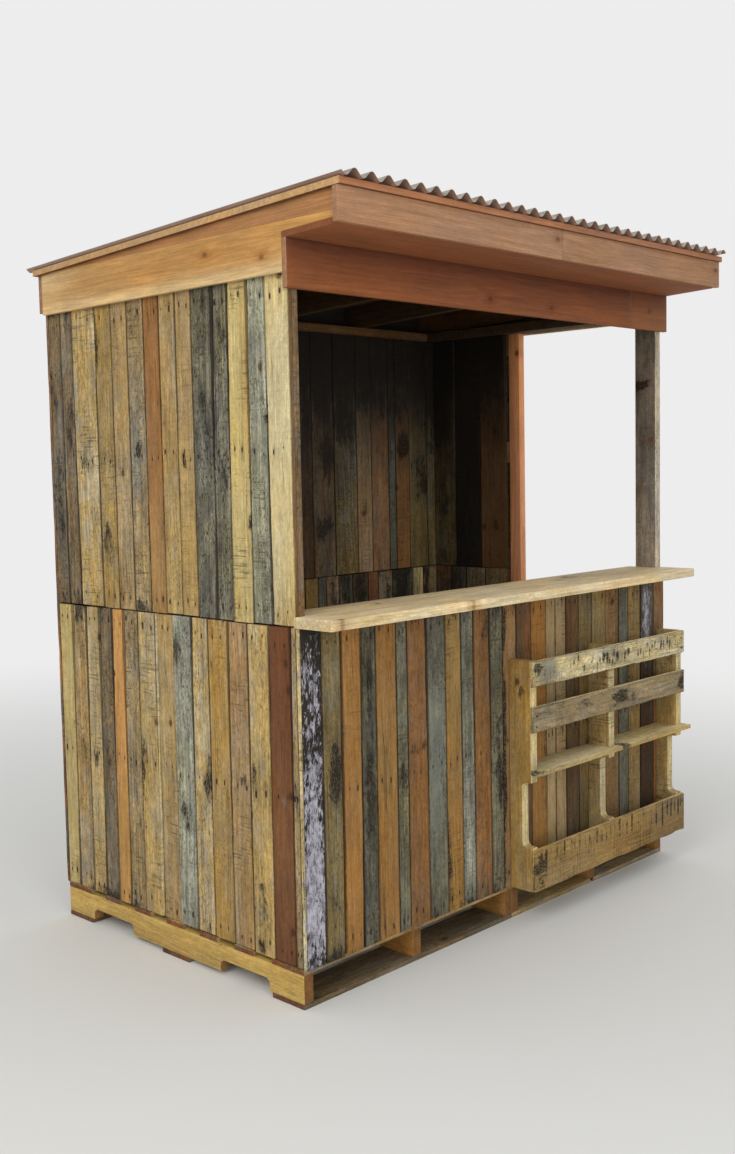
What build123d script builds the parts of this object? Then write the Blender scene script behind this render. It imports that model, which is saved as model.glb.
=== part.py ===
from build123d import *
import math
import os

# A street kiosk made of pallet wood: two pallets side by side carry board walls, a serving
# opening with a counter in front, a doorway on the right and a low lean-to roof of corrugated steel.
# X runs from the left side to the right, Y from the front to the back, Z up from the ground.

inch = 25.4

# Pallet stock
pallet_width = 40 * inch
pallet_length = 48 * inch
board_thickness = 0.625 * inch
lead_board_width = 5.5 * inch
inner_board_width = 3.5 * inch
stringer_thickness = 1.5 * inch
stringer_depth = 3.5 * inch
notch_start = 6 * inch
notch_length = 9 * inch
notch_height = 1.5 * inch
notch_radius = 0.75 * inch
broken_board_gap = 0.75 * inch

# Layout of the two base pallets
pallet_count = 2
stringers_per_pallet = 3
inner_floor_boards = 5

# Walls
panel_height = 40 * inch
post_thickness = 1.5 * inch
post_depth = 3.5 * inch
left_post_thickness = 0.875 * inch
door_post_depth = 2.1 * inch
flat_rail_height = 3.5 * inch
edge_rail_height = 1.5 * inch
rails_per_panel = 3
rail_inset = 0.125 * inch
front_panel_split_offset = 2.2 * inch
doorway_depth = 22.4 * inch

# Counter
counter_thickness = 1.25 * inch
counter_depth = 10.75 * inch
counter_left_overhang = 0.3 * inch
counter_right_setback = 0.2 * inch
counter_fit = 0.04 * inch

# Trim boards and the roof
trim_thickness = 0.75 * inch
trim_height = 5.5 * inch
side_board_lap = 0.25 * inch
beam_drop = 2.05 * inch
plate_thickness = 1.5 * inch
plate_width = 3.5 * inch
rafter_thickness = 1.5 * inch
rafter_depth = 3.75 * inch
rafter_count = 5
front_overhang = 8.5 * inch
soffit_thickness = 0.65 * inch
deck_thickness = 0.75 * inch
fascia_side_overhang = 0.55 * inch
deck_side_overhang = 0.65 * inch
deck_front_overhang = 0.4 * inch
deck_back_overhang = 0.35 * inch
joint_gap = 0.04 * inch

# Corrugated steel sheet
corrugation_pitch = 2.68 * inch
corrugation_depth = 0.875 * inch
corrugation_angle = 45
sheet_thickness = 1.0
sheet_side_overhang = 0.15 * inch
sheet_front_overhang = 0.55 * inch
sheet_back_overhang = 1.3 * inch

# Rack cut from a pallet, on the right half of the front wall
rack_offset = 0.9 * inch
rack_height = 31.6 * inch
rack_slat_width = 3.5 * inch
rack_slat_gap = 2.7 * inch
rack_front_board_height = 5.8 * inch
shelf_rise = 16.15 * inch
shelf_thickness = 0.6 * inch
shelf_front_overhang = 0.8 * inch
shelf_end_overhang = 0.5 * inch

# Places worked out from the sizes
base_width = pallet_count * pallet_width
base_depth = pallet_length
floor_level = 2 * board_thickness + stringer_depth
seam_level = floor_level + panel_height
wall_top = seam_level + panel_height
side_frame = board_thickness + post_thickness
left_post_right = board_thickness + left_post_thickness
front_left_panel_width = pallet_width - front_panel_split_offset
rack_left = pallet_width - rack_offset
inner_front = stringer_depth + board_thickness
door_post_front = post_depth + doorway_depth
door_post_back = door_post_front + door_post_depth
back_lining_front = base_depth - stringer_depth - board_thickness
counter_top = seam_level + counter_thickness
plate_top = wall_top + plate_thickness
plate_front = base_depth - plate_width
beam_bottom = wall_top - beam_drop
beam_top = beam_bottom + trim_height
roof_slope = (beam_top - plate_top) / plate_front
fascia_front = -(front_overhang + trim_thickness)
deck_front = fascia_front - deck_front_overhang
deck_back = base_depth + trim_thickness + deck_back_overhang
sheet_front = deck_front - sheet_front_overhang
sheet_back = deck_back + sheet_back_overhang
trim_span = (-trim_thickness, base_width + trim_thickness)
centre_x = base_width / 2
centre_y = (sheet_front + sheet_back) / 2


def block(x, y, z):
    """A box between two values on each axis."""
    size = (x[1] - x[0], y[1] - y[0], z[1] - z[0])
    return Pos(x[0], y[0], z[0]) * Box(*size, align=(Align.MIN, Align.MIN, Align.MIN))


def side_prism(outline, x):
    """An outline of (y, z) points, drawn out from x[0] to x[1]."""
    face = make_face(Polyline(*[(x[0], y, z) for y, z in outline], close=True))
    return extrude(face, amount=x[1] - x[0], dir=(1, 0, 0))


def write(name, *solids):
    """One STEP file for a sub-part, with the origin below the middle of the kiosk."""
    placed = [Pos(-centre_x, -centre_y, 0) * solid for solid in solids]
    piece = placed[0] if len(placed) == 1 else Compound(children=placed)
    piece.label = name
    export_step(piece, f"parts/{name}.step")


def underside(y):
    """Height of the underside of the roof boards."""
    return beam_top + rafter_depth - roof_slope * y


def soffit_top(y):
    """Height of the upper face of the soffit, which the rafter tails rest on."""
    return beam_top + soffit_thickness - roof_slope * y


def spaced(low, high, width, count):
    """Start of each of several equal pieces spread evenly from low to high."""
    step = (high - low - width) / (count - 1)
    return [low + step * i for i in range(count)]


# Base pallets


def notched_outline(length, notch_starts):
    """Side view of a stringer: length along x, the notched edge on y = 0."""
    outline = Rectangle(length, stringer_depth, align=(Align.MIN, Align.MIN))
    for start in notch_starts:
        notch = RectangleRounded(notch_length, 2 * notch_height, notch_radius)
        outline -= Pos(start + notch_length / 2, 0) * notch
    return outline


def base_stringer(x):
    notches = (notch_start, base_depth - notch_start - notch_length)
    side = Plane(origin=(x, 0, board_thickness), x_dir=(0, 1, 0), z_dir=(1, 0, 0))
    return extrude(side * notched_outline(base_depth, notches), amount=stringer_thickness)


def bottom_boards(left):
    right = left + pallet_width
    z = (0, board_thickness)
    boards = []
    for y in spaced(0, base_depth, lead_board_width, 3)[1:]:
        boards.append(block((left, right), (y, y + lead_board_width), z))
    if left > 0:
        broken_at = (left + right) / 2
        left_part = (left, broken_at - broken_board_gap / 2)
        right_part = (broken_at + broken_board_gap / 2, right)
        boards.append(block(left_part, (0, lead_board_width), z))
        boards.append(block(right_part, (0, lead_board_width), z))
    else:
        boards.append(block((left, right), (0, lead_board_width), z))
    return boards


def floor_boards(left):
    x = (left, left + pallet_width)
    z = (floor_level - board_thickness, floor_level)
    spare = base_depth - 2 * lead_board_width - inner_floor_boards * inner_board_width
    gap = spare / (inner_floor_boards + 1)
    boards = [block(x, (0, lead_board_width), z)]
    for i in range(inner_floor_boards):
        y = lead_board_width + gap + i * (inner_board_width + gap)
        boards.append(block(x, (y, y + inner_board_width), z))
    boards.append(block(x, (base_depth - lead_board_width, base_depth), z))
    return boards


def pallet_lefts():
    return [i * pallet_width for i in range(pallet_count)]


def write_base():
    number = 0
    for left in pallet_lefts():
        for x in spaced(left, left + pallet_width, stringer_thickness, stringers_per_pallet):
            number += 1
            write(f"base_stringer_{number}", base_stringer(x))
    for side, left in zip(("left", "right"), pallet_lefts()):
        write(f"base_bottom_boards_{side}", *bottom_boards(left))
        write(f"floor_boards_{side}", *floor_boards(left))


# Walls


def rails(x, y, panel_bottoms, rail_height):
    """The level rails of each wall panel, just inside the ends of its boards."""
    solids = []
    for bottom in panel_bottoms:
        low = bottom + rail_inset
        high = bottom + panel_height - rail_inset
        for z in spaced(low, high, rail_height, rails_per_panel):
            solids.append(block(x, y, (z, z + rail_height)))
    return solids


def write_side_wall(side, boards_x, rails_x, y, rails_y):
    write(f"{side}_wall_lower_boards", block(boards_x, y, (floor_level, seam_level)))
    write(f"{side}_wall_upper_boards", block(boards_x, y, (seam_level, wall_top)))
    levels = (floor_level, seam_level)
    write(f"{side}_wall_rails", *rails(rails_x, rails_y, levels, flat_rail_height))


def write_lining(name, x, y):
    """Boards on the inner side of a wall, in two rows."""
    lower_row = block(x, y, (floor_level, seam_level - joint_gap))
    upper_row = block(x, y, (seam_level + joint_gap, wall_top))
    write(name, lower_row, upper_row)


def write_back_wall():
    y = (base_depth, base_depth + board_thickness)
    frame_x = (side_frame, base_width - side_frame)
    frame_y = (base_depth - stringer_depth, base_depth)
    write("back_wall_lower_boards", block((0, base_width), y, (floor_level, seam_level)))
    write("back_wall_upper_boards", block((0, base_width), y, (seam_level, wall_top)))
    levels = (floor_level, seam_level)
    write("back_wall_rails", *rails(frame_x, frame_y, levels, edge_rail_height))
    write_lining("back_wall_lining", frame_x, (back_lining_front, frame_y[0]))


def write_front_wall():
    y = (-board_thickness, 0)
    z = (floor_level, seam_level)
    frame_x = (left_post_right, base_width - post_thickness)
    write("front_wall_left_boards", block((0, front_left_panel_width), y, z))
    write("front_wall_right_boards", block((front_left_panel_width, base_width), y, z))
    write("front_wall_rails", *rails(frame_x, (0, stringer_depth), (floor_level,), edge_rail_height))
    lining_x = (side_frame, base_width)
    write("front_wall_lining", block(lining_x, (stringer_depth, inner_front), z))


def write_walls():
    right_boards = (base_width - board_thickness, base_width)
    right_rails = (base_width - side_frame, base_width - board_thickness)
    left_boards = (0, board_thickness)
    left_rails = (board_thickness, side_frame)
    write_side_wall("left", left_boards, left_rails, (0, base_depth), (post_depth, base_depth))
    rear = (door_post_back, base_depth)
    write_side_wall("right", right_boards, right_rails, rear, rear)
    right_lining = (right_rails[0] - board_thickness, right_rails[0])
    write_lining("right_wall_lining", right_lining, (door_post_back, back_lining_front))
    write_back_wall()
    write_front_wall()


def write_posts():
    z = (floor_level, wall_top)
    right = (base_width - post_thickness, base_width)
    left = (board_thickness, left_post_right)
    write("front_left_post", block(left, (0, post_depth), z))
    write("front_right_post", block(right, (0, post_depth), z))
    write("door_post", block(right, (door_post_front, door_post_back), z))


def write_counter():
    """A plank on the front wall, notched round both front posts and the left wall's rail."""
    x = (-counter_left_overhang, base_width - counter_right_setback)
    y = (inner_front + board_thickness - counter_depth, inner_front + board_thickness)
    z = (seam_level, counter_top)
    plank = block(x, y, z)
    left_notch_x = (x[0], left_post_right + counter_fit)
    rail_notch_x = (x[0], side_frame + counter_fit)
    right_notch_x = (base_width - post_thickness - counter_fit, x[1])
    plank -= block(left_notch_x, (-counter_fit, y[1]), z)
    plank -= block(rail_notch_x, (post_depth - counter_fit, y[1]), z)
    plank -= block(right_notch_x, (-counter_fit, y[1]), z)
    write("counter", plank)


# Roof


def write_beams():
    write("front_beam", block(trim_span, (-trim_thickness, 0), (beam_bottom, beam_top)))
    sides_y = (0, plate_front - joint_gap)
    z = (wall_top, plate_top)
    left_plate = block((0, plate_width), sides_y, z)
    right_plate = block((base_width - plate_width, base_width), sides_y, z)
    back_plate = block((0, base_width), (plate_front, base_depth), z)
    write("top_plates", left_plate, right_plate, back_plate)


def side_board_outline():
    """Level board with its front part cut to a slim tail over the soffit."""
    bottom = wall_top - side_board_lap
    top = bottom + trim_height
    meets_roof = (underside(0) - top) / roof_slope
    outline = [(0, bottom), (base_depth, bottom)]
    if meets_roof < base_depth:
        outline += [(base_depth, underside(base_depth)), (meets_roof, top)]
    else:
        outline += [(base_depth, top)]
    outline += [(-front_overhang, top), (-front_overhang, soffit_top(-front_overhang))]
    return outline + [(0, soffit_top(0))]


def side_wedge_outline():
    """The long wedge that fills the gable between the level board and the roof."""
    bottom = wall_top - side_board_lap + trim_height
    back = min((underside(0) - bottom) / roof_slope, base_depth)
    outline = [(-front_overhang, bottom), (back, bottom)]
    if underside(back) > bottom + joint_gap:
        outline.append((back, underside(back)))
    return outline + [(-front_overhang, underside(-front_overhang))]


def write_gables():
    spans = {"left": (-trim_thickness, 0), "right": (base_width, base_width + trim_thickness)}
    for side, x in spans.items():
        write(f"{side}_side_board", side_prism(side_board_outline(), x))
        write(f"{side}_side_wedge", side_prism(side_wedge_outline(), x))
    back_face = base_depth + trim_thickness
    back = [
        (base_depth, wall_top),
        (back_face, wall_top),
        (back_face, underside(back_face)),
        (base_depth, underside(base_depth)),
    ]
    write("back_board", side_prism(back, trim_span))


def rafter_outline():
    """A rafter with its tail cut back over the soffit and a level seat on the back plate."""
    tail = -front_overhang
    return [
        (tail, soffit_top(tail)),
        (0, soffit_top(0)),
        (0, beam_top),
        (plate_front, plate_top),
        (base_depth, plate_top),
        (base_depth, underside(base_depth)),
        (tail, underside(tail)),
    ]


def fascia_outline():
    back = -front_overhang
    bottom = underside(fascia_front) - rafter_depth
    return [
        (fascia_front, bottom),
        (back, bottom),
        (back, underside(back)),
        (fascia_front, underside(fascia_front)),
    ]


def soffit_outline():
    front = -front_overhang
    beam_front = -trim_thickness
    rise = roof_slope * (beam_front - front)
    return [
        (0, beam_top),
        (0, soffit_top(0)),
        (front, soffit_top(front)),
        (front, beam_top + rise),
        (beam_front, beam_top),
    ]


def widened(span, overhang):
    return (span[0] - overhang, span[1] + overhang)


def write_roof_frame():
    lefts = spaced(0, base_width, rafter_thickness, rafter_count)
    write("rafters", *[side_prism(rafter_outline(), (x, x + rafter_thickness)) for x in lefts])
    fascia_span = widened(trim_span, fascia_side_overhang)
    left_half = (fascia_span[0], centre_x - joint_gap / 2)
    right_half = (centre_x + joint_gap / 2, fascia_span[1])
    write("front_fascia", *[side_prism(fascia_outline(), half) for half in (left_half, right_half)])
    write("soffit", side_prism(soffit_outline(), trim_span))


def write_deck():
    outline = [
        (deck_front, underside(deck_front)),
        (deck_back, underside(deck_back)),
        (deck_back, underside(deck_back) + deck_thickness),
        (deck_front, underside(deck_front) + deck_thickness),
    ]
    write("roof_deck", side_prism(outline, widened(trim_span, deck_side_overhang)))


def corrugated_line(left, count, level):
    """Rounded zigzag at the front edge of the sheet, with its valleys at the given level."""
    quarter = corrugation_pitch / 4
    flank_rise = quarter * math.tan(math.radians(corrugation_angle))
    flank_length = 1 / math.cos(math.radians(corrugation_angle))
    radius = (flank_rise - corrugation_depth / 2) / (flank_length - 1)
    middle = level + corrugation_depth / 2
    points = [(left, sheet_front, middle)]
    for i in range(2 * count):
        swing = flank_rise if i % 2 else -flank_rise
        points.append((left + (2 * i + 1) * quarter, sheet_front, middle + swing))
    points.append((left + 4 * count * quarter, sheet_front, middle))
    return FilletPolyline(*points, radius=radius)


def write_sheet():
    """Corrugated steel laid on the roof boards, its ridges running down the slope."""
    span = widened(trim_span, deck_side_overhang + sheet_side_overhang)
    count = round((span[1] - span[0]) / corrugation_pitch)
    left = centre_x - count * corrugation_pitch / 2
    level = underside(sheet_front) + deck_thickness
    lower = corrugated_line(left, count, level)
    upper = Pos(0, 0, sheet_thickness) * lower
    left_edge = Line(lower @ 0, upper @ 0)
    right_edge = Line(lower @ 1, upper @ 1)
    section = make_face([*lower.edges(), *upper.edges(), left_edge, right_edge])
    run = sheet_back - sheet_front
    slope_length = math.hypot(run, roof_slope * run)
    write("roof_sheet", extrude(section, amount=slope_length, dir=(0, 1, -roof_slope)))


# Rack on the front wall


def rack_stringer(left):
    back = -board_thickness
    right = left + stringer_thickness
    side = Plane(origin=(right, back - stringer_depth, floor_level), x_dir=(0, 0, 1), z_dir=(-1, 0, 0))
    return extrude(side * notched_outline(rack_height, (notch_start,)), amount=stringer_thickness)


def write_rack():
    right = rack_left + pallet_width
    stringers_front = -board_thickness - stringer_depth
    boards_y = (stringers_front - board_thickness, stringers_front)
    lefts = spaced(rack_left, right, stringer_thickness, stringers_per_pallet)
    for name, left in zip(("left", "middle", "right"), lefts):
        write(f"rack_stringer_{name}", rack_stringer(left))
    top = floor_level + rack_height
    second_top = top - rack_slat_width - rack_slat_gap
    upper_slat = block((rack_left, right), boards_y, (top - rack_slat_width, top))
    lower_slat = block((rack_left, right), boards_y, (second_top - rack_slat_width, second_top))
    write("rack_slats", upper_slat, lower_slat)
    trough_top = floor_level + rack_front_board_height
    write("rack_front_board", block((rack_left, right), boards_y, (floor_level, trough_top)))

    shelf_bottom = floor_level + shelf_rise
    shelf_z = (shelf_bottom, shelf_bottom + shelf_thickness)
    shelf_y = (boards_y[0] - shelf_front_overhang, -board_thickness)
    split = lefts[1] + stringer_thickness
    shelves = []
    for x in ((rack_left, split - joint_gap), (split, right + shelf_end_overhang)):
        shelf = block(x, shelf_y, shelf_z)
        for left in lefts:
            shelf -= block((left, left + stringer_thickness), (stringers_front, shelf_y[1]), shelf_z)
        shelves.append(shelf)
    write("rack_shelf", *shelves)


os.makedirs("parts", exist_ok=True)
write_base()
write_walls()
write_posts()
write_counter()
write_beams()
write_gables()
write_roof_frame()
write_deck()
write_sheet()
write_rack()
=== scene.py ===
import itertools
import math

import bmesh
import bpy
import numpy as np
from mathutils import Matrix, Vector


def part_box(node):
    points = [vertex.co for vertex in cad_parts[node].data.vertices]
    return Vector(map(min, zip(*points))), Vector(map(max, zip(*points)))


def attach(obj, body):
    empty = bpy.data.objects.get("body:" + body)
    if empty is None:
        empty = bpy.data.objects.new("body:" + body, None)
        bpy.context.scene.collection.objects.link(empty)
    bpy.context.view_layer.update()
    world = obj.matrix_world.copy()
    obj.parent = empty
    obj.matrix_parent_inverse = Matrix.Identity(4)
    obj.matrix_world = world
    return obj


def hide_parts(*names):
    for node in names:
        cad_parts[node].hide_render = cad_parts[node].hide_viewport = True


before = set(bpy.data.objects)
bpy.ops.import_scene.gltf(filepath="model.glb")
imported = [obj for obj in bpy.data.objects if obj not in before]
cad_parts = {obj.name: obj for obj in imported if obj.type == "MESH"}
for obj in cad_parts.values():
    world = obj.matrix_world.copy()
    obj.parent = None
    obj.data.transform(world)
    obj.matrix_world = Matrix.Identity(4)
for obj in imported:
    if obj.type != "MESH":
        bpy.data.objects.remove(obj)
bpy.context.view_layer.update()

INCH = 0.0254
X, Y, Z = np.eye(3)
SEED = 4
rng = np.random.default_rng(SEED)

# Camera, as solved from the edges of the pallets: lens and picture in pixels, place in inches from the
# front left corner of the base, and turns in degrees

PHOTO_WIDTH, PHOTO_HEIGHT = 735, 1154
SENSOR_MM = 36
FOCAL_PX = 1252.63
CENTRE_PX = (328.31, 567.11)
CAMERA_INCHES = (-97.21, -102.116, 62.827)
AZIMUTH, PITCH, ROLL = 45.161, -4.5506, -1.2732
PLAN_CENTRE_INCHES = (40.0, 20.1, 0.0)


def add_camera():
    data = bpy.data.cameras.new("camera")
    data.sensor_width = SENSOR_MM
    data.lens = FOCAL_PX / PHOTO_HEIGHT * data.sensor_width
    data.shift_x = (PHOTO_WIDTH / 2 - CENTRE_PX[0]) / PHOTO_HEIGHT
    data.shift_y = (CENTRE_PX[1] - PHOTO_HEIGHT / 2) / PHOTO_HEIGHT
    camera = bpy.data.objects.new("camera", data)
    bpy.context.scene.collection.objects.link(camera)
    turn = Matrix.Rotation(-math.radians(AZIMUTH), 4, "Z")
    tilt = Matrix.Rotation(math.radians(90 + PITCH), 4, "X")
    roll = Matrix.Rotation(math.radians(ROLL), 4, "Z")
    place = (Vector(CAMERA_INCHES) - Vector(PLAN_CENTRE_INCHES)) * INCH
    camera.matrix_world = Matrix.Translation(place) @ turn @ tilt @ roll
    bpy.context.scene.camera = camera


# Materials


def linear(srgb):
    """Linear values of a colour given as it looks on a screen."""
    return np.array([c / 12.92 if c <= 0.04045 else ((c + 0.055) / 1.055) ** 2.4 for c in srgb])


def shade(colour):
    return (*linear(colour), 1.0)


BLUE_STAIN = shade((0.42, 0.44, 0.42))
MOULD = shade((0.12, 0.10, 0.075))
KNOT = shade((0.22, 0.14, 0.08))
FRESH_KNOT = shade((0.26, 0.15, 0.09))
OLD_PAINT = shade((0.40, 0.39, 0.41))
PALE_PAINT = shade((0.72, 0.71, 0.75))
RUST_BLEED = shade((0.27, 0.18, 0.11))
NAIL_RUST = shade((0.09, 0.065, 0.05))
JOINT_DIRT = shade((0.13, 0.09, 0.06))
SAW_MARK = shade((0.20, 0.155, 0.11))
FLECK = shade((0.13, 0.10, 0.07))
CRACK = shade((0.12, 0.09, 0.06))
FRESH_FLECK = shade((0.26, 0.16, 0.09))
FRESH_CRACK = shade((0.25, 0.15, 0.08))


class Shader:
    """A material or a world, built node by node."""

    def __init__(self, made):
        self.made = made
        self.made.use_nodes = True
        self.tree = self.made.node_tree
        self.tree.nodes.clear()

    def node(self, kind, inputs=(), **settings):
        made = self.tree.nodes.new(kind)
        for key, value in settings.items():
            setattr(made, key, value)
        for key, value in dict(inputs).items():
            if isinstance(value, bpy.types.NodeSocket):
                self.tree.links.new(value, made.inputs[key])
            else:
                made.inputs[key].default_value = value
        return made

    def math(self, operation, a, b=0.0, c=0.0):
        return self.node("ShaderNodeMath", {0: a, 1: b, 2: c}, operation=operation).outputs[0]

    def times(self, a, b):
        return self.math("MULTIPLY", a, b)

    def times_plus(self, a, b, c):
        """a times b, plus c."""
        return self.math("MULTIPLY_ADD", a, b, c)

    def least(self, values):
        lowest = values[0]
        for value in values[1:]:
            lowest = self.math("MINIMUM", lowest, value)
        return lowest

    def vector(self, operation, a, b=(0, 0, 0)):
        return self.node("ShaderNodeVectorMath", {0: a, 1: b}, operation=operation).outputs[0]

    def attribute(self, name):
        return self.node("ShaderNodeAttribute", attribute_name=name)

    def parts(self, vector):
        return self.node("ShaderNodeSeparateXYZ", {0: vector}).outputs

    def noise(self, vector, scale, detail=2.0, roughness=0.5):
        """Noise over coordinates that are stretched by one factor per axis."""
        stretched = self.vector("MULTIPLY", vector, scale)
        inputs = {"Vector": stretched, "Scale": 1.0, "Detail": detail, "Roughness": roughness}
        return self.node("ShaderNodeTexNoise", inputs).outputs["Fac"]

    def step(self, value, low, high):
        """0 below low, 1 above high and smooth between."""
        inputs = {"Value": value, "From Min": low, "From Max": high}
        return self.node("ShaderNodeMapRange", inputs, interpolation_type="SMOOTHSTEP").outputs[0]

    def below(self, value, low, high):
        """1 below low, 0 above high and smooth between."""
        return self.math("SUBTRACT", 1.0, self.step(value, low, high))

    def spread(self, noise, amount):
        """A noise turned into a factor that swings round 1 by the amount."""
        inputs = {"Value": noise, "From Min": 0.33, "From Max": 0.67, "To Min": -1.0}
        swing = self.node("ShaderNodeMapRange", inputs).outputs[0]
        return self.times_plus(swing, amount, 1.0)

    def scaled(self, colour, factor):
        inputs = {0: colour, "Scale": factor}
        return self.node("ShaderNodeVectorMath", inputs, operation="SCALE").outputs[0]

    def mix(self, factor, a, b):
        made = self.node("ShaderNodeMix", {0: factor, 6: a, 7: b}, data_type="RGBA")
        return made.outputs[2]

    def finish(self, colour, roughness, height=None, relief=0.001, metallic=0.0, specular=0.3):
        inputs = {"Base Color": colour, "Roughness": roughness, "Metallic": metallic}
        inputs["Specular IOR Level"] = specular
        if height is not None:
            bumps = {"Height": height, "Distance": relief, "Strength": 1.0}
            inputs["Normal"] = self.node("ShaderNodeBump", bumps).outputs[0]
        shader = self.node("ShaderNodeBsdfPrincipled", inputs)
        self.node("ShaderNodeOutputMaterial", {0: shader.outputs[0]})
        return self.made


class Wood(Shader):
    """Sawn wood that follows each board's own grain, tone, wear, stains and nails."""

    # Whether a noise bends with the grain, its waves a metre across, along and through the board, its
    # octaves and its roughness
    NOISES = {
        "fibre": (True, (300, 9, 300), 2, 0.6),
        "streak": (True, (100, 2.6, 100), 5, 0.68),
        "cloud": (False, (15, 5, 15), 5, 0.62),
        "blot": (False, (70, 28, 70), 6, 0.75),
        "broad": (False, (6.5, 2.2, 6.5), 3),
        "patch": (False, (24, 9, 24), 6, 0.72),
        "speck": (False, (210, 95, 210), 3, 0.65),
    }

    def __init__(self, name):
        super().__init__(bpy.data.materials.new(name))
        tone, stain = self.attribute("tone"), self.attribute("stain")
        grain = self.attribute("grain").outputs["Vector"]
        self.tone, self.wear = tone.outputs["Color"], tone.outputs["Alpha"]
        self.dark, self.blue, self.paint = self.parts(stain.outputs["Vector"])
        self.end = stain.outputs["Alpha"]
        self.seed, self.rusting, self.half_width = self.parts(self.attribute("board").outputs["Vector"])
        self.levels = self.parts(self.attribute("nail").outputs["Vector"])
        self.pair = self.parts(self.attribute("pair").outputs["Vector"])
        self.across, self.along, _ = self.parts(grain)
        whites = self.node("ShaderNodeTexWhiteNoise", {"W": self.seed}, noise_dimensions="1D")
        self.chance = whites.outputs["Value"]

        seeds = self.node("ShaderNodeCombineXYZ", {0: self.seed, 1: self.seed, 2: self.seed}).outputs[0]
        self.place = self.vector("ADD", grain, self.vector("MULTIPLY", seeds, (3.1, 7.7, 1.3)))
        bend = self.times_plus(self.noise(self.place, (6, 0.9, 6), 2), 0.08, -0.04)
        shift = self.node("ShaderNodeCombineXYZ", {0: bend}).outputs[0]
        self.bent = self.vector("ADD", self.place, shift)

        for name, (bent, *shape) in self.NOISES.items():
            setattr(self, name, self.noise(self.bent if bent else self.place, *shape))

    def varied(self, cloud, blot, streak, fibre, speck, worn, hue):
        """The board's tone with warm and cool patches, light and dark ones, and streaks along the grain."""
        shift = self.step(self.broad, 0.32, 0.68)
        warm = (1 + 0.05 * hue, 1, 1 - 0.13 * hue, 1)
        cool = (1 - 0.03 * hue, 1, 1 + 0.06 * hue, 1)
        colour = self.vector("MULTIPLY", self.tone, self.mix(shift, warm, cool))
        swings = ((self.cloud, cloud, worn), (self.blot, blot, 1.2 * worn), (self.streak, streak, worn))
        for noise, amount, with_wear in swings:
            strength = self.times_plus(self.wear, with_wear, amount)
            colour = self.scaled(colour, self.spread(noise, strength))
        colour = self.scaled(colour, self.spread(self.fibre, fibre))
        colour = self.scaled(colour, self.spread(self.speck, self.times_plus(self.wear, worn, speck)))
        luminance = self.node("ShaderNodeRGBToBW", {0: colour}).outputs[0]
        silver = self.node("ShaderNodeCombineXYZ", {0: 1.07, 1: 0.99, 2: 0.78}).outputs[0]
        silver = self.scaled(silver, self.times(luminance, 1.25))
        greying = self.times_plus(self.patch, 0.8, self.times(self.broad, 0.4))
        greying = self.step(greying, 0.55, 0.70)
        return self.mix(self.times(self.wear, greying), colour, silver)

    def ringed(self, colour, strength, bulge):
        """Growth rings in soft curved lines, drawn round the knots."""
        sweep = self.times(self.noise(self.place, (9, 0.8, 9), 2), 16.0)
        turns = self.times_plus(self.parts(self.bent)[0], 2 * math.pi / 0.024, sweep)
        turns = self.times_plus(bulge, 8.0, turns)
        wave = self.math("SINE", self.times_plus(self.streak, 4.0, turns))
        line = self.math("POWER", self.times_plus(wave, 0.5, 0.5), 2.0)
        line = self.times(line, self.step(self.cloud, 0.25, 0.7))
        darker = self.vector("MULTIPLY", colour, (0.76, 0.58, 0.42))
        return self.mix(self.times(line, strength), colour, darker)

    def ragged(self, mark):
        """A soft mark given an uneven outline."""
        gate = self.step(mark, 0.02, 0.3)
        uneven = self.times(self.math("SUBTRACT", self.patch, 0.5), gate)
        fine = self.times(self.math("SUBTRACT", self.blot, 0.5), gate)
        value = self.times_plus(uneven, 1.5, self.times(mark, 0.45))
        whole = self.step(self.times_plus(fine, 0.9, value), 0.16, 0.42)
        holes = self.times_plus(self.step(self.speck, 0.36, 0.52), 0.6, 0.4)
        return self.times(whole, holes)

    def stained(self, colour):
        """Blue stain, and dark mould and dirt."""
        blue = self.times(self.ragged(self.blue), 0.62)
        colour = self.mix(blue, colour, BLUE_STAIN)
        general = self.times_plus(self.patch, 0.5, self.times(self.blot, 0.3))
        general = self.times_plus(self.speck, 0.2, general)
        general = self.step(self.times_plus(self.wear, 0.1, general), 0.57, 0.70)
        general = self.times(general, self.times_plus(self.wear, 0.5, 0.2))
        dirt = self.math("MAXIMUM", self.times(self.ragged(self.dark), 0.97), general)
        return self.mix(dirt, colour, MOULD)

    def sawn(self, strength):
        """Rough saw marks across some boards, the worn ones most of all."""
        cluster = self.step(self.noise(self.place, (11, 4.5, 11), 3), 0.45, 0.6)
        lines = self.step(self.noise(self.place, (12, 170, 12), 3, 0.6), 0.54, 0.63)
        rough = self.step(self.times_plus(self.wear, 0.5, self.chance), 0.45, 0.95)
        marks = self.times(self.times(lines, cluster), rough)
        return self.times(marks, strength)

    def flecks(self, strength):
        """Dark flecks in clusters."""
        fleck = self.step(self.noise(self.place, (185, 75, 185), 2, 0.5), 0.58, 0.67)
        cluster = self.times_plus(self.wear, 0.1, self.noise(self.place, (8, 5, 8), 4, 0.6))
        fleck = self.times(fleck, self.times_plus(self.wear, 0.8, 0.3))
        return self.times(self.times(fleck, self.step(cluster, 0.49, 0.64)), strength)

    def cracks(self, strength):
        """Fine checks along the grain."""
        check = self.math("SUBTRACT", self.noise(self.bent, (110, 1.6, 110), 1), 0.5)
        line = self.below(self.math("ABSOLUTE", check), 0.0, 0.018)
        where = self.step(self.noise(self.place, (18, 3, 18), 2), 0.5, 0.66)
        return self.times(self.times(line, where), strength)

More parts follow.
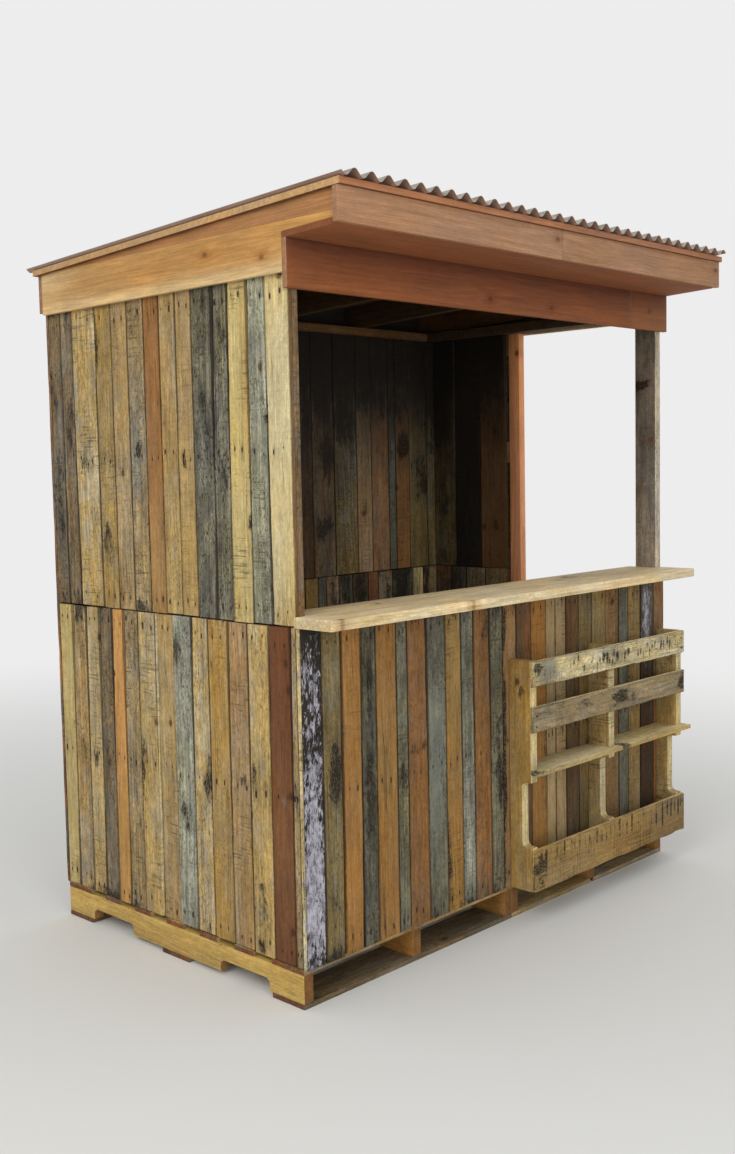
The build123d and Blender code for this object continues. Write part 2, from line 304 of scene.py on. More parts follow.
    def knotty(self, colour, share):
        """Small knots at random."""
        spot = self.vector("MULTIPLY", self.place, (6.5, 4.2, 0))
        cell = self.node("ShaderNodeTexVoronoi", {"Vector": spot, "Scale": 1.0}, voronoi_dimensions="2D")
        chosen = self.step(self.parts(cell.outputs["Color"])[0], 1 - share, 1 - share + 0.01)
        reach = self.times_plus(self.streak, 0.06, cell.outputs["Distance"])
        halo = self.times(self.below(reach, 0.06, 0.19), chosen)
        heart = self.times(self.below(reach, 0.065, 0.10), chosen)
        darker = self.vector("MULTIPLY", colour, (0.6, 0.45, 0.32))
        colour = self.mix(self.times(halo, 0.4), colour, darker)
        return self.mix(self.times(heart, 0.75), colour, KNOT)

    def knot_reach(self):
        """Distance from the nearest of a piece's own knots, longer along the grain."""
        found = []
        for i in range(3):
            du = self.math("SUBTRACT", self.across, self.pair[i])
            dv = self.times(self.math("SUBTRACT", self.along, self.levels[i]), 0.6)
            square = self.times_plus(du, du, self.times(dv, dv))
            found.append(self.math("SQRT", square))
        return self.times_plus(self.streak, 0.006, self.least(found))

    def own_knots(self, colour, reach):
        halo = self.times(self.below(reach, 0.008, 0.034), 0.5)
        heart = self.times(self.below(reach, 0.006, 0.013), 0.6)
        colour = self.mix(halo, colour, self.vector("MULTIPLY", colour, (0.66, 0.48, 0.34)))
        return self.mix(heart, colour, FRESH_KNOT)

    def peeling(self, colour):
        """Old paint in flakes, and how much of it there is."""
        fine = self.noise(self.bent, (170, 46, 170), 4, 0.7)
        flake = self.times_plus(fine, 0.6, self.times(self.patch, 0.4))
        flakes = self.step(self.times_plus(self.paint, 0.2, flake), 0.59, 0.65)
        flakes = self.times(flakes, self.step(self.paint, 0.02, 0.1))
        faded = self.mix(self.step(self.blot, 0.36, 0.62), OLD_PAINT, PALE_PAINT)
        return self.mix(flakes, colour, faded), flakes

    def nailed(self, colour):
        """Rust round the nails, drawn out along the grain, and how much of it there is."""
        left, right, slant = self.pair
        sides = [self.math("ABSOLUTE", self.math("SUBTRACT", self.across, side)) for side in (left, right)]
        side = self.least(sides)
        height = self.times_plus(self.across, slant, self.along)
        rises = [self.math("ABSOLUTE", self.math("SUBTRACT", height, one)) for one in self.levels]
        level = self.least(rises)
        faint = self.times_plus(self.noise(self.place, (23, 9, 23), 1), 3.4, -1.7)
        faint = self.math("ADD", faint, self.times_plus(self.blot, 1.6, -0.8))
        spot = self.math("MAXIMUM", self.math("DIVIDE", side, 0.0026), self.math("DIVIDE", level, 0.0062))
        rust = self.times(self.below(self.math("ADD", spot, faint), 0.75, 1.4), self.rusting)
        bleed = self.math("MAXIMUM", self.math("DIVIDE", side, 0.006), self.math("DIVIDE", level, 0.026))
        bleed = self.times(self.below(self.math("ADD", bleed, faint), 0.3, 1.5), self.rusting)
        colour = self.mix(self.times(bleed, 0.25), colour, RUST_BLEED)
        return self.mix(self.times(rust, 0.88), colour, NAIL_RUST), rust

    def edged(self, colour):
        """Dirt in the joints and darker end grain."""
        margin = self.math("SUBTRACT", self.half_width, self.math("ABSOLUTE", self.across))
        edge = self.below(self.times_plus(self.blot, -0.013, margin), -0.0058, -0.0030)
        edge = self.times(edge, self.step(self.end, -0.6, -0.2))
        edge = self.times(edge, self.times_plus(self.wear, 0.2, 0.65))
        colour = self.mix(edge, colour, JOINT_DIRT)
        pores = self.times(self.noise(self.place, (420, 420, 420), 2), 0.9)
        end = self.times(self.math("MAXIMUM", self.end, 0.0), 0.45)
        return self.mix(end, colour, self.scaled(colour, pores))


def weathered_wood():
    """Reclaimed pallet boards: grey, stained, sawn, nailed and partly painted."""
    s = Wood("pallet_wood")
    colour = s.varied(cloud=0.11, blot=0.14, streak=0.13, fibre=0.14, speck=0.10, worn=0.36, hue=1.0)
    colour = s.stained(colour)
    sawn, fleck, crack = s.sawn(0.55), s.flecks(0.85), s.cracks(0.75)
    colour = s.mix(sawn, colour, SAW_MARK)
    colour = s.mix(fleck, colour, FLECK)
    colour = s.mix(crack, colour, CRACK)
    colour, flakes = s.peeling(s.knotty(colour, 0.1))
    colour, rust = s.nailed(colour)
    height = s.times_plus(s.fibre, 0.35, s.times(s.streak, 0.4))
    for part, amount in ((sawn, -0.7), (fleck, -0.5), (crack, -0.8), (flakes, 0.35), (rust, -0.6)):
        height = s.times_plus(part, amount, height)
    roughness = s.times_plus(s.cloud, 0.2, 0.7)
    return s.finish(s.edged(colour), roughness, height, 0.0013, specular=0.22)


def fresh_wood():
    """New planed fir with soft growth rings and a few knots."""
    s = Wood("fir_wood")
    reach = s.knot_reach()
    colour = s.varied(cloud=0.12, blot=0.06, streak=0.17, fibre=0.12, speck=0.05, worn=0.2, hue=0.8)
    colour = s.own_knots(s.ringed(colour, 0.34, s.below(reach, 0.0, 0.06)), reach)
    fleck, crack = s.flecks(0.14), s.cracks(0.18)
    colour = s.mix(fleck, colour, FRESH_FLECK)
    colour = s.mix(crack, colour, FRESH_CRACK)
    colour = s.stained(s.knotty(colour, 0.05))
    height = s.times_plus(s.fibre, 0.3, s.times(s.streak, 0.3))
    height = s.times_plus(crack, -0.6, height)
    roughness = s.times_plus(s.cloud, 0.2, 0.62)
    return s.finish(s.edged(colour), roughness, height, 0.0006, specular=0.25)


def galvanised():
    """Zinc with a soft spangle, grime in broad patches and a little rust."""
    s = Shader(bpy.data.materials.new("corrugated_steel"))
    place = s.node("ShaderNodeTexCoord").outputs["Object"]
    spangle = s.node("ShaderNodeTexVoronoi", {"Vector": place, "Scale": 55.0}).outputs["Color"]
    grey = s.mix(s.parts(spangle)[0], shade((0.60, 0.57, 0.53)), shade((0.73, 0.70, 0.65)))
    grime = s.step(s.noise(place, (9, 2, 9), 6, 0.7), 0.45, 0.75)
    colour = s.mix(s.times(grime, 0.65), grey, shade((0.40, 0.34, 0.27)))
    rust = s.step(s.noise(place, (22, 5, 22), 7, 0.75), 0.54, 0.72)
    colour = s.mix(s.times(rust, 0.6), colour, shade((0.38, 0.24, 0.15)))
    facing = s.parts(s.node("ShaderNodeNewGeometry").outputs["True Normal"])[2]
    under = s.below(facing, -0.2, 0.1)
    brown = s.mix(s.times(grime, 0.5), shade((0.60, 0.48, 0.41)), shade((0.42, 0.31, 0.25)))
    colour = s.mix(under, colour, brown)
    roughness = s.times_plus(grime, 0.25, 0.32)
    metallic = s.times_plus(under, -0.7, 0.75)
    height = s.noise(place, (30, 30, 30), 3)
    return s.finish(colour, roughness, height, 0.0006, metallic=metallic, specular=0.5)


def screw_metal():
    s = Shader(bpy.data.materials.new("screw_metal"))
    place = s.node("ShaderNodeTexCoord").outputs["Object"]
    speck = s.noise(place, (300, 300, 300), 3)
    return s.finish(s.mix(speck, shade((0.6, 0.6, 0.6)), shade((0.36, 0.36, 0.36))), 0.5, metallic=0.8)


# Tones of the boards, as they look on a screen

TONES_LISTED = """
cream 0.76 0.69 0.51 | pale_yellow 0.72 0.64 0.42 | straw 0.67 0.57 0.37 | ochre 0.6 0.49 0.28
golden 0.63 0.5 0.27 | tan 0.63 0.52 0.34 | pink_tan 0.62 0.5 0.35 | orange 0.63 0.45 0.23
apricot 0.74 0.55 0.33 | rust 0.55 0.39 0.23 | terracotta 0.53 0.34 0.21 | mahogany 0.4 0.24 0.14
brown 0.43 0.33 0.21 | dark_brown 0.29 0.21 0.14 | grey_tan 0.59 0.51 0.37 | grey_brown 0.45 0.38 0.28
olive 0.5 0.43 0.27 | blue_grey 0.55 0.55 0.48 | slate 0.38 0.37 0.31 | charcoal 0.18 0.16 0.14
green_grey 0.48 0.46 0.36 | butter 0.74 0.62 0.36 | pine 0.87 0.78 0.6 | fir 0.655 0.495 0.375
pale_fir 0.8 0.65 0.46 | honey 0.7 0.53 0.31 | amber 0.68 0.48 0.25 | tan_fir 0.62 0.44 0.275
red_fir 0.56 0.335 0.195 | bright_fir 0.59 0.375 0.22 | rose_fir 0.66 0.455 0.325
red_brown 0.46 0.28 0.17 | deep_fir 0.36 0.19 0.11 | post_grey 0.45 0.41 0.37 | pale_grey 0.72 0.66 0.58
post_fir 0.88 0.61 0.43
"""


def entries(text):
    """The words of each entry of a text, whose entries are parted by bars and line ends."""
    return [entry.split() for entry in text.replace("\n", "|").split("|") if entry.strip()]


TONES = {name: [float(value) for value in values] for name, *values in entries(TONES_LISTED)}


# Boards as meshes

STAINS = ("dark", "blue", "paint")
NOWHERE = (-9, -9, -9)
FAR = 9
NAIL_SIDES, NAIL_RADIUS, NAIL_HEIGHT = 6, 0.0022, 0.0009
NAIL_METAL = (0.02, 0.016, 0.014, 0)

# Boards, in metres: the bevel round them, the joint between two, how far their edges wander and are worn
# down, and how deep they lie and how cupped, short and rough they are

CHAMFER, JOINT = 0.0014, 0.0022
WANDER, EDGE_WEAR, MOST_WEAR = 0.0004, 0.0012, 0.004
MOST_SUNK, MOST_CUPPED, MOST_SHORT, ROUGHNESS = 0.0015, 0.0006, 0.002, 0.0002

# Nails: how far they are sunk and off their row in metres, and how far the two of a row are from the
# board's middle and off it, as shares of its half width, and how much the row slants

NAIL_SUNK, NAIL_SLACK = 0.0008, 0.012
PAIR_SPREAD, PAIR_SHIFT, PAIR_SLANT = (0.34, 0.52), 0.16, 0.35


class Lumber:
    """Boards with their tone, grain, stains and nails, gathered into one mesh."""

    VALUES = ("stain", "grain", "nail", "pair", "board")

    def __init__(self):
        self.points, self.faces, self.tones = [], [], []
        self.values = {name: [] for name in self.VALUES}
        self.count = 0

    def add(self, points, faces, tone, face_tones=(), **values):
        """One solid. A value given once holds for all its points, and a face may have its own tone."""
        corners = np.fromiter(itertools.chain.from_iterable(faces), int)
        starts = np.cumsum([0, *map(len, faces)])
        colours = np.broadcast_to(np.asarray(tone, float), (len(points), 4))[corners]
        for number, colour in dict(face_tones).items():
            colours[starts[number] : starts[number + 1], :3] = colour
        self.tones.append(colours)
        self.points.append(points)
        self.faces += [[self.count + i for i in face] for face in faces]
        for name in self.VALUES:
            row = np.asarray(values[name], float)
            self.values[name].append(np.broadcast_to(row, (len(points), row.shape[-1])))
        self.count += len(points)

    def build(self, name, material, node, smooth=40):
        """The mesh as a piece of the scene that stands for a CAD node."""
        mesh = bpy.data.meshes.new(name)
        mesh.from_pydata(np.concatenate(self.points).tolist(), [], self.faces)
        for key, rows in {"tone": self.tones, **self.values}.items():
            rows = np.concatenate(rows)
            kind, field = ("FLOAT_COLOR", "color") if rows.shape[1] == 4 else ("FLOAT_VECTOR", "vector")
            layer = mesh.attributes.new(key, kind, "CORNER" if key == "tone" else "POINT")
            layer.data.foreach_set(field, rows.ravel())
        bm = bmesh.new()
        bm.from_mesh(mesh)
        bmesh.ops.recalc_face_normals(bm, faces=bm.faces)
        bm.to_mesh(mesh)
        bm.free()
        mesh.polygons.foreach_set("use_smooth", [True] * len(mesh.polygons))
        mesh.set_sharp_from_angle(angle=math.radians(smooth))
        piece = linked(name, mesh, material)
        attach(piece, "root")
        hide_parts(node)


def linked(name, mesh, material):
    """An object in the scene for a mesh with one material."""
    mesh.materials.append(material)
    piece = bpy.data.objects.new(name, mesh)
    bpy.context.scene.collection.objects.link(piece)
    return piece


def marked(colour, marks, stains, u, v, dim=1.0):
    """Add stains to the marks, and patches of another tone to the colour. A stain is its kind, its place
    across (-1 to 1) and along (0 to 1), its size across and along, and its strength."""
    for kind, place_u, place_v, size_u, size_v, strength in stains:
        amount = strength * np.exp(-(((u - place_u) / size_u) ** 2) - ((v - place_v) / size_v) ** 2)
        if kind in STAINS:
            marks[:, STAINS.index(kind)] += amount
        else:
            blend = np.clip(amount, 0, 1)[:, None]
            colour[:, :3] += blend * (linear(TONES[kind]) * dim - colour[:, :3])


def waver(count, knots, amount):
    """A smooth random line of count values."""
    control = rng.normal(0, amount, knots)
    return np.interp(np.linspace(0, knots - 1, count), np.arange(knots), control)


def nail_head(lumber, spot, axes):
    across, along, out = axes
    n = NAIL_SIDES
    angles = np.arange(n) * 2 * math.pi / n
    ring = NAIL_RADIUS * (np.outer(np.cos(angles), across) + np.outer(np.sin(angles), along))
    points = np.concatenate([spot + ring, spot + 0.8 * ring + NAIL_HEIGHT * out])
    faces = [[i, (i + 1) % n, n + (i + 1) % n, n + i] for i in range(n)]
    faces += [list(range(n))[::-1], list(range(n, 2 * n))]
    values = {"stain": [0] * 4, "grain": spot, "nail": NOWHERE, "pair": NOWHERE, "board": [1, 0, FAR]}
    lumber.add(points, faces, NAIL_METAL, **values)


def plank(
    lumber, start, axes, length, sides, thickness, tone, wear=0.3, stains=(), nails=None, rusting=1.0,
    gap=JOINT, sunk=None, shorts=(0, 0), rough=1.0, grid=(8, 56), dim=1.0, edge_tone=None,
):
    """One board, with wandering edges that are worn round and a slightly cupped face. start is its inner
    corner, axes its directions across, along and out, and sides its two edges across, each at the start
    and at the end. nails are levels along it, as shares of its length."""
    across, along, out = axes
    columns, rows = grid
    v = np.concatenate([[0, CHAMFER], np.linspace(0, length, rows)[1:-1], [length - CHAMFER, length]])
    n = len(v)
    share = v / length
    low_seam, high_seam = (first + (last - first) * share for first, last in sides)
    low = low_seam + gap / 2 + np.abs(waver(n, 14, WANDER * rough))
    high = high_seam - gap / 2 - np.abs(waver(n, 14, WANDER * rough))
    low[[0, -1]] += CHAMFER
    high[[0, -1]] -= CHAMFER
    worn_low = CHAMFER + np.clip(waver(n, 22, EDGE_WEAR * rough), 0, MOST_WEAR)
    worn_high = CHAMFER + np.clip(waver(n, 22, EDGE_WEAR * rough), 0, MOST_WEAR)
    depth = rng.uniform(0, MOST_SUNK)
    depth = depth if sunk is None else sunk
    cup = rng.uniform(-MOST_CUPPED, MOST_CUPPED) * rough
    first, last = (short + rng.uniform(0, MOST_SHORT) for short in shorts)
    travel = first + share * (length - first - last)
    inset = np.zeros(n)
    inset[[0, -1]] = CHAMFER
    top = thickness - depth - inset
    t = np.linspace(0, 1, columns + 1)
    face_u = (low + worn_low)[:, None] + t * (high - low - worn_low - worn_high)[:, None]
    face_w = (top - abs(cup))[:, None] - cup * (2 * t - 1) ** 2
    face_w = face_w - ROUGHNESS * rough * rng.random((n, columns + 1))
    rim = [
        (high, top - 1.6 * worn_high),
        (high_seam, inset + CHAMFER),
        (high_seam - CHAMFER, inset),
        (low_seam + CHAMFER, inset),
        (low_seam, inset + CHAMFER),
        (low, top - 1.6 * worn_low),
    ]
    size = columns + 1 + len(rim)
    u = np.column_stack([face_u, *[place for place, _ in rim]]).ravel()
    w = np.column_stack([face_w, *[level for _, level in rim]]).ravel()
    run = np.repeat(travel, size)
    points = np.asarray(start) + np.outer(u, across) + np.outer(run, along) + np.outer(w, out)
    faces = []
    for i, j in itertools.product(range(n - 1), range(size)):
        a, b = i * size + j, i * size + (j + 1) % size
        faces.append([a, b, b + size, a + size])
    faces += [list(range(size))[::-1], list(range((n - 1) * size, n * size))]

    centre = (low.mean() + high.mean()) / 2
    half = (high.mean() - low.mean()) / 2
    marks = np.zeros((len(points), 4))
    marks[:size, 3] = marks[-size:, 3] = 1.0
    colour = np.empty((len(points), 4))
    shade_of_board = dim * rng.uniform(0.95, 1.05)
    colour[:] = [*(linear(TONES[tone]) * shade_of_board), wear]
    marked(colour, marks, stains, (u - centre) / half, run / length, shade_of_board)
    if edge_tone:
        which, edge_name = edge_tone
        edge = columns + (5 if which == "low" else 1)
        on_edge = np.isin(np.arange(len(points)) % size, (edge, edge + 1))
        colour[on_edge, :3] = linear(TONES[edge_name]) * dim
        marks[on_edge, :3] *= 0.3
        marks[on_edge, 3] = -1
    seed = rng.uniform(0, 40)
    spread, shift = half * rng.uniform(*PAIR_SPREAD), half * rng.uniform(-PAIR_SHIFT, PAIR_SHIFT)
    pair = [shift - spread, shift + spread, rng.uniform(-PAIR_SLANT, PAIR_SLANT)]
    levels = NOWHERE
    if nails is not None:
        levels = [length * level + rng.uniform(-NAIL_SLACK, NAIL_SLACK) for level in nails]
    lumber.add(
        points,
        faces,
        colour,
        stain=marks,
        grain=np.stack([u - centre, run, w], 1),
        nail=levels,
        pair=pair,
        board=[seed, rusting if nails is not None else 0, half],
    )
    if nails is not None:
        for level, offset in itertools.product(levels, pair[:2]):
            height = level - offset * pair[2]
            spot = np.asarray(start) + (centre + offset) * across + height * along
            nail_head(lumber, spot + (thickness - depth - NAIL_SUNK) * out, axes)


NAIL_ROWS = (0.042, 0.5, 0.955)


def board_row(lumber, start, axes, size, boards, **options):
    """Boards side by side over a width, length and thickness. Each one is (far edge at the start, far edge
    at the end, tone, wear, stains, settings). The setting open is the width in inches of an open joint
    before the board, at both its ends."""
    width, length, thickness = size
    scale = width / boards[-1][0]
    near = (0.0, 0.0)
    for far_start, far_end, tone, wear, stains, own in boards:
        far = (far_start * scale, far_end * scale)
        settings = {"nails": NAIL_ROWS, **options, **own}
        joint = settings.pop("open", (0, 0))
        near = (near[0] + joint[0] * INCH, near[1] + joint[1] * INCH)
        plank(lumber, start, axes, length, (near, far), thickness, tone, wear, stains, **settings)
        near = far


# Mixed boards: widths in inches, and how many there are of each tone

BOARD_WIDTHS = (2.9, 3.3, 3.5, 3.7, 4.2, 5.4)
NARROWEST = 2.2
MIXED = {
    **{"straw": 14, "tan": 14, "pale_yellow": 9, "grey_tan": 10, "pink_tan": 9, "ochre": 7, "golden": 4},
    **{"brown": 7, "grey_brown": 8, "blue_grey": 7, "rust": 4, "slate": 4, "cream": 3, "mahogany": 1},
}


def mixed_boards(width):
    """A row of reclaimed boards of mixed widths and tones over a width in inches."""
    names, counts = list(MIXED), np.array(list(MIXED.values()), float)
    boards, edge = [], 0.0
    while edge < width:
        edge += rng.choice(BOARD_WIDTHS) * rng.uniform(0.97, 1.03)
        if width - edge < NARROWEST:
            edge = width
        tone = str(rng.choice(names, p=counts / counts.sum()))
        stains = []
        if rng.random() < 0.6:
            stains.append(("dark", rng.uniform(-0.6, 0.6), rng.choice([0.03, 0.97, 0.5]), 0.6, 0.06, 0.8))
        if rng.random() < 0.3:
            stains.append(("blue", rng.uniform(-0.6, 0.6), rng.uniform(0.1, 0.9), 0.7, 0.12, 0.9))
        if rng.random() < 0.3:
            stains.append(("dark", rng.uniform(-0.8, 0.8), rng.uniform(0.1, 0.9), 0.4, 0.1, 0.8))
        lean = rng.uniform(-0.15, 0.15) if edge < width else 0
        boards.append((edge, edge + lean, tone, rng.uniform(0.1, 0.8), stains, {}))
    return boards


def ends(low=0.6, high=0.6):
    """Dark dirt at both ends of a board."""
    return [("dark", 0, 0.0, 2, 0.035, low), ("dark", 0, 1.0, 2, 0.035, high)]


def sooty():
    """Painted shade at the top of a board that stands inside, evenly dark."""
    return [("charcoal", 0, 1.05, 4, 0.58, 1.35), ("dark", 0, 0.95, 2, 0.3, 1.2)]


def smoke(strength):
    """Soft dark stain clouds up a board that stands inside, and painted shade darkest at its top."""
    clouds = [("charcoal", 0, 1.05, 4, 0.62, 1.3), ("dark", 0, 1.0, 2, 0.35, 1.3 * strength)]
    for level in rng.uniform(0.25, 0.9, 3):
        size = (rng.uniform(0.6, 1.2), rng.uniform(0.05, 0.14))
        clouds.append(("dark", rng.uniform(-0.7, 0.7), level, *size, strength * rng.uniform(0.4, 0.9)))
    return clouds


# Boards and stains as lines of text

STAIN_SETS = {"ends": ends, "sooty": sooty, "smoke": smoke}
SETTINGS = {
    "edge": lambda which, tone: {"edge_tone": (which, tone)},
    "open": lambda start, end: {"open": (float(start), float(end))},
    "sunk": lambda depth: {"sunk": float(depth)},
    "unnailed": lambda: {"nails": None},
}


def stains_from(text):
    """Stains parted by bars. Each is a kind and five numbers, or the name of a set and its own numbers."""
    stains = []
    for kind, *numbers in entries(text):
        numbers = [float(number) for number in numbers]
        stains += STAIN_SETS[kind](*numbers) if kind in STAIN_SETS else [(kind, *numbers)]
    return stains


def boards_from(text):
    """Boards from lines of text. A line has the board's far edge in inches, at the bottom and at the top
    where it leans, its tone and wear, a stain after each bar and a setting after each semicolon."""
    boards = []
    for line in text.strip().splitlines():
        line, *own = line.split(";")
        first, _, stains = line.partition("|")
        *edges, tone, wear = first.split()
        settings = {}
        for key, *values in map(str.split, own):
            settings |= SETTINGS[key](*values)
        edges = (float(edges[0]), float(edges[-1]))
        boards.append((*edges, tone, float(wear), stains_from(stains), settings))
    return boards


# The boards one by one, from the corner where the row starts. LINING_UPPER and LINING_LOWER are the right
# part of the back wall's lining, which is all that shows of it

LEFT_UPPER = boards_from("""
3 2.6 grey_brown 0.6 | ends | dark 0 0.35 1 0.2 0.6 | dark -0.5 0.75 1 0.1 0.6
5.9 5.3 grey_brown 0.7 | ends 0.8 | dark 0.2 0.62 1 0.16 0.7 | dark 0 0.2 1 0.1 0.5
11 10.7 straw 0.5 | blue -0.3 0.89 0.7 0.05 1 | dark -0.3 0.5 0.6 0.12 0.55
14.5 14.4 ochre 0.3 | dark -0.9 0.86 0.6 0.1 1 | dark -0.2 0.22 0.6 0.07 1
17.9 tan 0.3 | dark -0.9 0.06 0.6 0.03 0.9 | grey_tan 0 0.9 2 0.2 0.7
21.3 21.4 grey_tan 0.6 | ends 0.9 0.3 | dark 0.1 0.52 0.5 0.035 1.2 | blue 0 0.5 1 0.1 1
24.4 24.6 rust 0.1 | dark 0.8 0.3 0.5 0.12 0.6 | tan 0 0.1 2 0.25 0.6
27.6 27.9 straw 0.3 | dark 0.1 0.96 0.8 0.03 1 | tan 0 0.7 2 0.4 0.8
30.8 30.9 tan 0.15 | dark -0.3 0.49 0.4 0.04 1.3 | straw 0 0.2 2 0.3 0.8
34 35.1 slate 1 | dark 0.2 0.62 1 0.16 0.6 | green_grey 0.8 0.8 0.8 0.15 0.8 \
    | green_grey 0.5 0.25 0.8 0.15 0.7 | dark 0 0.95 1 0.06 0.6
37.2 37.7 green_grey 1 | dark 0 0.42 1 0.1 0.7 | dark 0.3 0.85 0.9 0.06 0.7 | slate -0.9 0.5 1 1 0.7
40.7 41.1 pale_yellow 0.1 | dark 0.9 0.3 0.3 0.02 1.2 | golden 0.9 0.7 0.4 0.4 0.6
44.3 43.8 blue_grey 0.7 | ends 0.5 0.6 | dark 0.9 0.6 0.3 0.04 1 ; sunk 0.003
48 cream 0.1 | dark 0.2 0.99 0.6 0.012 0.8 | ochre 0 0 2 0.08 0.6 ; edge high brown
""")
LEFT_LOWER = boards_from("""
2.5 3.6 pale_yellow 0.1 | golden 0 0.4 2 0.3 0.3
6 6.7 tan 0.5 | ends 0.8 | dark 0.2 0.5 0.6 0.05 1.2 | dark -0.3 0.95 0.9 0.03 0.8
8.9 9.8 straw 0.3 | ends 0.6 0.3 | dark 0 0.48 0.4 0.04 0.9
11.9 12.6 grey_brown 0.7 | ends 0.8 0.6 | dark 0.2 0.47 0.6 0.04 0.8
14.5 15.2 apricot 0 | dark -0.8 0.78 0.3 0.01 1.2 | golden 0 0.2 2 0.3 0.6
18 18.2 grey_tan 0.5 | ends 0.5 0.3 | dark 0.3 0.3 0.5 0.12 0.5
21.6 22 straw 0.35 | dark -0.9 0.45 0.5 0.18 1 ; edge high cream
25.3 25.4 tan 0.25 | straw 0 0.7 2 0.3 0.8 ; sunk 0.006
28.7 29.3 blue_grey 0.8 | dark -0.6 0.9 0.6 0.06 0.9 | dark 0 0.35 0.8 0.1 0.7
32.2 32.4 straw 0.45 | ends 0.4 0.4 | dark 0.5 0.5 0.6 0.07 1
35.8 36.2 golden 0.2 | ends 0.2 0.3 | ochre 0.8 0.5 0.5 0.5 0.6
39.5 39.6 pink_tan 0.25 | dark 0.3 0.52 0.5 0.02 0.8 | tan 0 0.3 2 0.3 0.8
43.1 43.4 straw 0.4 | dark -0.7 0.55 0.4 0.08 1.1 | dark -0.3 0.03 0.5 0.03 1 | dark 0 0.2 0.8 0.1 0.6
46.6 47.1 mahogany 0.05 | blue 0.2 0.5 0.3 0.03 0.8 | rust 0 0.35 2 0.3 0.35
48 grey_tan 0.5 | dark 0 0.5 1 0.3 0.4
""")
FRONT_LEFT = boards_from("""
3.2 3.5 charcoal 0.6 | paint -0.1 0.22 1.5 0.28 1.1 | paint 0 0.6 1.5 0.2 0.6 \
    | paint -0.3 0.85 1 0.1 0.5 ; edge low cream ; unnailed
6.4 6.6 olive 0.45 | ends 0.8 0.8 | dark 0.2 0.56 0.9 0.1 1.2 | blue 0.3 0.4 0.8 0.05 0.9 \
    | dark 0 0.12 1 0.1 0.8
9.7 10.1 orange 0.1 | ends 0.3 0.6 ; open 0.45 0
12.4 12.8 slate 0.8 | ends 0.4 0.6 | dark 0 0.45 1 0.25 0.8 | dark 0 0.85 1 0.1 0.7
16.3 orange 0.1 | ends 0.2 0.6 | ochre 0 0.5 2 0.2 0.5
18.4 18.3 green_grey 0.6 | ends 0.5 0.6 | dark 0 0.5 1 0.15 0.8
22.4 21.8 rust 0.2 | ends 0.3 0.6 | dark 0 0.57 0.8 0.03 0.8
25.9 25.6 slate 0.6 | ends 0.6 0.6 | blue 0 0.5 1 0.3 0.9 | blue_grey 0 0.45 2 0.35 0.7
29.2 28.8 ochre 0.1 | ends 0.4 0.6 | dark -0.9 0.2 0.4 0.15 1.1 | orange 0 0.3 2 0.4 0.7
31.8 31.4 blue_grey 0.7 | ends 0.7 0.7 | slate 0 0.8 2 0.3 0.7
35.4 34.7 rust 0.3 | ends 0.3 0.6 | dark 0.3 0.9 0.5 0.06 0.7 | brown 0 0.8 2 0.3 0.5
37.8 green_grey 0.7 | ends 0.7 0.7 | dark 0.4 0.4 0.8 0.2 1 | slate 0 0.85 2 0.25 0.8
""")
FRONT_RIGHT = boards_from("""
3.1 pink_tan 0.2 | dark -0.9 0.5 0.35 0.6 1.2 | dark 0 0.95 2 0.05 0.6 | rust 0 0.5 2 0.6 0.5
6.5 brown 0.2 | ends 0.5 0.5 | terracotta 0.5 0.8 0.7 0.3 0.7 | dark_brown -0.6 0.5 0.6 0.5 0.5
10.1 orange 0.05 | ends 0.2 0.4 | dark 0.9 0.5 0.3 0.3 0.6
12.4 pink_tan 0.1 | cream 0 0.5 3 3 0.45
15 pink_tan 0.1 | dark 0 0.5 0.6 0.03 0.9 | cream 0 0.5 3 3 0.35
18.2 brown 0.3 | ends 0.5 0.5 | mahogany -0.7 0.85 0.6 0.15 0.9 | dark_brown 0 0.3 2 0.2 0.6
21.6 olive 0.3 | ends 0.5 0.5 | dark 0.5 0.5 0.6 0.2 0.7 | brown 0 0.4 3 0.3 0.5
25.3 ochre 0.3 | ends 0.3 0.3 | green_grey 0 0.7 2 0.3 0.5
29 rust 0.2 | dark 0 0.93 0.5 0.02 1 | ochre 0 0.5 2 0.4 0.7
31.7 slate 0.6 | ends 0.4 0.4 | blue_grey 0 0.5 2 0.4 0.4
35.2 ochre 0.3 | ends 0.3 0.4 | dark -0.5 0.6 0.6 0.1 0.6
39.05 dark_brown 0.4 | paint -0.2 0.85 0.7 0.15 0.9 | slate 0.6 0.6 0.4 0.3 0.6 | slate 0 0.9 2 0.15 0.6
42.2 rust 0.3 | ends 0.3 0.3
""")
# The sets at the tops of these inner boards are painted shade under the roof, with some dark stain clouds
LINING_UPPER = boards_from("""
44.375 dark_brown 0.5 | smoke 0.8
49.475 brown 0.6 | smoke 1.2 | dark 0 0.2 1 0.06 0.9 | paint 0.3 0.13 0.5 0.04 0.35
54.875 olive 0.7 | smoke 0.9
58.575 pink_tan 0.2 | sooty | dark 0.2 0.28 0.3 0.05 0.6
62.975 terracotta 0.3 | pink_tan 0 0.3 3 0.5 0.6 | sooty | dark -0.4 0.3 0.4 0.1 0.6
64.775 slate 0.4 | blue 0 0.3 1 0.3 1 | sooty
68.375 rust 0.1 | dark 0 0.53 1 0.05 1.5 | sooty
73.175 olive 0.3 | smoke 0.9
75.75 olive 0.5 | smoke 1
""")
